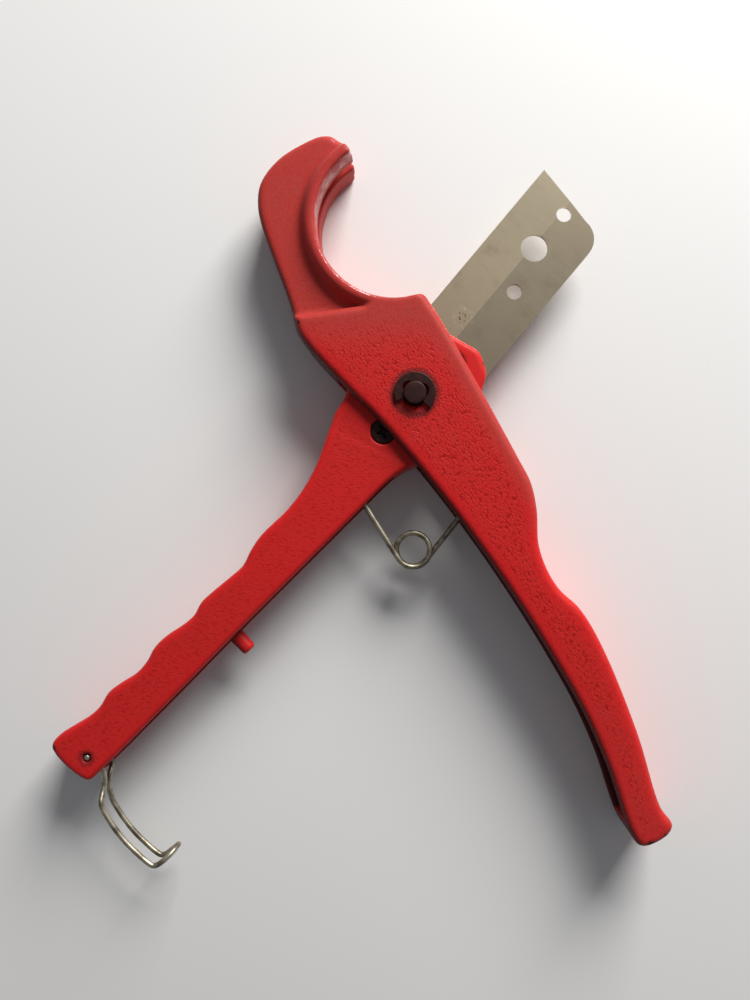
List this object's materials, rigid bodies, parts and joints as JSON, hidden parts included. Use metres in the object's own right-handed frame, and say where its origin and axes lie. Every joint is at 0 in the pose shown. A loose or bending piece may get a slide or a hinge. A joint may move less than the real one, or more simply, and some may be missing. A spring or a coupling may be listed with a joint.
{
  "type": "hand pipe cutter",
  "caption": "Hand pipe cutter: hooked cast frame with a fixed handle, a pivoting handle that carries the blade, a return spring and a wire latch bail.",
  "frame": {"origin": "centre of the pivot pin's flush rear head, in the plane of the frame's rear face", "axes": "+Z along the pivot towards the clip, +Y towards the jaw's tip, +X towards the open blade's side"},
  "size_m": [0.1657, 0.1975, 0.022],
  "materials": {
    "casting_paint": "red hammer paint, semi-gloss, on cast aluminium",
    "blade_steel": "ground, cross grained",
    "black_steel": "black oxide",
    "plated_wire": "zinc plated wire"
  },
  "bodies": {
    "frame": {"jaw_frame": "casting_paint", "pivot_pin": "black_steel", "e_clip": "black_steel"},
    "blade_handle": {"blade_handle": "casting_paint", "blade": "blade_steel", "blade_screw_upper": "black_steel", "blade_screw_lower": "black_steel"},
    "spring_frame_half": {"spring_frame_leg": "plated_wire"},
    "spring_handle_half": {"spring_handle_leg": "plated_wire"},
    "latch_bail": {"latch_bail": "plated_wire"}
  },
  "joints": [
    {"name": "blade_pivot", "type": "hinge", "parent": "frame", "child": "blade_handle", "pos_m": [0, 0, 0.01], "axis": [0, 0, 1], "range_deg": [0, 57], "stiffness_Nm_per_rad": 0.4, "springref_deg": -28.65},
    {"name": "latch_hinge", "type": "hinge", "parent": "blade_handle", "child": "latch_bail", "pos_m": [-0.0878, -0.097, 0.01], "axis": [0, 0, 1], "range_deg": [-5, 92]},
    {"name": "spring_frame_tip", "type": "hinge", "parent": "frame", "child": "spring_frame_half", "pos_m": [0.0232, -0.0189, 0.01], "axis": [0, 0, 1], "range_deg": [0, 48.5]},
    {"name": "spring_coil", "type": "hinge", "parent": "spring_frame_half", "child": "spring_handle_half", "pos_m": [-0.00055, -0.0416, 0.01], "axis": [0, 0, 1], "range_deg": [-45, 0]}
  ],
  "couplings": [
    {"joint": "spring_frame_tip", "follows": "blade_pivot", "ratio": 0.84},
    {"joint": "spring_coil", "follows": "blade_pivot", "ratio": -0.775}
  ]
}
